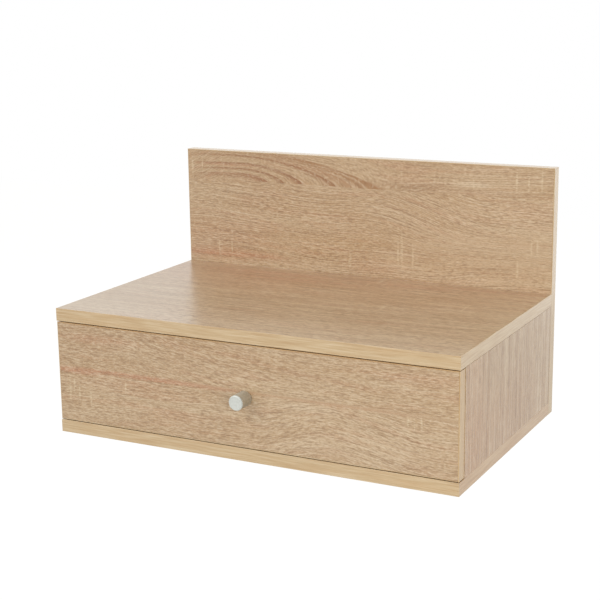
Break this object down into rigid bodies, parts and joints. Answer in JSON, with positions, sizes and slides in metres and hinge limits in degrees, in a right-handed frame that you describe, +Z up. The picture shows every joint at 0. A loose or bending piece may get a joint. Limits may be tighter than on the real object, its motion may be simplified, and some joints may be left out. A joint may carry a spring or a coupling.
{
  "type": "wall-hung nightstand",
  "caption": "Wall-hung bedside shelf with a drawer box under it and a tall back panel, in oak-effect board, the drawer on steel roller runners.",
  "frame": {"origin": "on the wall plane, in the middle of the four wall screw holes", "axes": "+X to the right as seen from the front, +Y into the wall, +Z up; the drawer opens toward -Y"},
  "size_m": [0.5, 0.337, 0.3],
  "materials": {
    "oak_face": "oak-effect melamine paper on chipboard, brown grain with fine dark pores, soft sheen",
    "oak_band": "pale oak-effect ABS edge band, smooth, soft sheen",
    "white_board": "white lacquered thin fibreboard",
    "satin_nickel": "turned knob with satin nickel plating",
    "white_steel": "rolled steel with white epoxy coating",
    "zinc_steel": "bright zinc-plated steel",
    "zinc_casting": "dull die-cast zinc",
    "roller_plastic": "white moulded nylon"
  },
  "bodies": {
    "cabinet": {"back_panel": "oak_face", "top_panel": "oak_face", "bottom_panel": "oak_face", "left_side_panel": "oak_face", "right_side_panel": "oak_face", "back_panel_top_band": "oak_band", "back_panel_left_band": "oak_band", "back_panel_right_band": "oak_band", "top_panel_front_band": "oak_band", "top_panel_left_band": "oak_band", "top_panel_right_band": "oak_band", "bottom_panel_front_band": "oak_band", "bottom_panel_left_band": "oak_band", "bottom_panel_right_band": "oak_band", "left_cabinet_rail": "white_steel", "right_cabinet_rail": "white_steel", "left_cabinet_rail_screw_front": "zinc_steel", "left_cabinet_rail_screw_rear": "zinc_steel", "right_cabinet_rail_screw_front": "zinc_steel", "right_cabinet_rail_screw_rear": "zinc_steel", "left_back_panel_screw_upper": "zinc_steel", "left_back_panel_screw_lower": "zinc_steel", "right_back_panel_screw_upper": "zinc_steel", "right_back_panel_screw_lower": "zinc_steel", "left_side_panel_screw": "zinc_steel", "right_side_panel_screw": "zinc_steel", "left_side_panel_cam_bolt": "zinc_steel", "right_side_panel_cam_bolt": "zinc_steel", "left_side_panel_cam_lock": "zinc_casting", "right_side_panel_cam_lock": "zinc_casting"},
    "drawer": {"drawer_front": "oak_face", "left_drawer_side": "oak_face", "right_drawer_side": "oak_face", "drawer_back": "oak_face", "drawer_bottom": "white_board", "drawer_front_top_band": "oak_band", "drawer_front_bottom_band": "oak_band", "drawer_front_left_band": "oak_band", "drawer_front_right_band": "oak_band", "drawer_knob": "satin_nickel", "left_drawer_rail": "white_steel", "right_drawer_rail": "white_steel", "drawer_knob_screw": "zinc_steel", "left_drawer_rail_screw_front": "zinc_steel", "left_drawer_rail_screw_rear": "zinc_steel", "right_drawer_rail_screw_front": "zinc_steel", "right_drawer_rail_screw_rear": "zinc_steel", "left_drawer_back_screw_lower": "zinc_steel", "left_drawer_back_screw_upper": "zinc_steel", "right_drawer_back_screw_lower": "zinc_steel", "right_drawer_back_screw_upper": "zinc_steel", "left_drawer_side_cam_bolt": "zinc_steel", "right_drawer_side_cam_bolt": "zinc_steel", "left_drawer_side_cam_lock": "zinc_casting", "right_drawer_side_cam_lock": "zinc_casting"},
    "left_front_roller": {"left_front_roller": "roller_plastic"},
    "left_rear_roller": {"left_rear_roller": "roller_plastic"},
    "right_front_roller": {"right_front_roller": "roller_plastic"},
    "right_rear_roller": {"right_rear_roller": "roller_plastic"}
  },
  "joints": [
    {"name": "drawer_slide", "type": "slide", "parent": "cabinet", "child": "drawer", "axis": [0, -1, 0], "range_m": [0, 0.19]},
    {"name": "left_front_roller_turn", "type": "hinge", "parent": "cabinet", "child": "left_front_roller", "pos_m": [-0.2292, -0.2867, -0.0397], "axis": [1, 0, 0], "range_deg": [0, 1215]},
    {"name": "left_rear_roller_turn", "type": "hinge", "parent": "drawer", "child": "left_rear_roller", "pos_m": [-0.2292, -0.061, -0.0367], "axis": [1, 0, 0], "range_deg": [0, 1215]},
    {"name": "right_front_roller_turn", "type": "hinge", "parent": "cabinet", "child": "right_front_roller", "pos_m": [0.2292, -0.2867, -0.0397], "axis": [1, 0, 0], "range_deg": [0, 1215]},
    {"name": "right_rear_roller_turn", "type": "hinge", "parent": "drawer", "child": "right_rear_roller", "pos_m": [0.2292, -0.061, -0.0367], "axis": [1, 0, 0], "range_deg": [0, 1215]}
  ],
  "couplings": [
    {"joint": "left_front_roller_turn", "follows": "drawer_slide", "rad_per_m": 111.11},
    {"joint": "left_rear_roller_turn", "follows": "drawer_slide", "rad_per_m": 111.11},
    {"joint": "right_front_roller_turn", "follows": "drawer_slide", "rad_per_m": 111.11},
    {"joint": "right_rear_roller_turn", "follows": "drawer_slide", "rad_per_m": 111.11}
  ]
}
